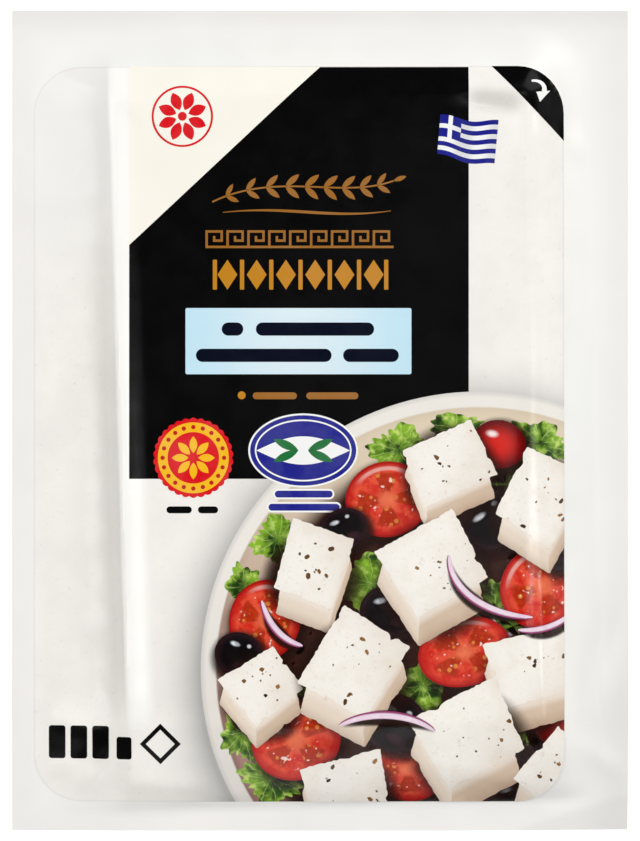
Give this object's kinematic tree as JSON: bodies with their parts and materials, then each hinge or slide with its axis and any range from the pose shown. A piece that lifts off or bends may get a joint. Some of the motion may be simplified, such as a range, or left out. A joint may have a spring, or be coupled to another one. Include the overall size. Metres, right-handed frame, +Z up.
{
  "type": "sealed feta cheese pack",
  "caption": "Flat vacuum pack of feta lying on its back: a cheese brick in a formed back film with a printed front film sealed over it.",
  "frame": {"origin": "centre of the pack's box, on the surface it lies on", "axes": "+Z up out of the printed front, +Y towards the pack's top edge, +X to the right of the print"},
  "size_m": [0.118, 0.157, 0.02],
  "materials": {
    "back_film": "white film, glossy, drawn tight over the cheese",
    "front_film": "white printed film, glossy, with soft creases"
  },
  "bodies": {
    "root": {"pack_body": "back_film", "front_film": "front_film"}
  },
  "joints": []
}
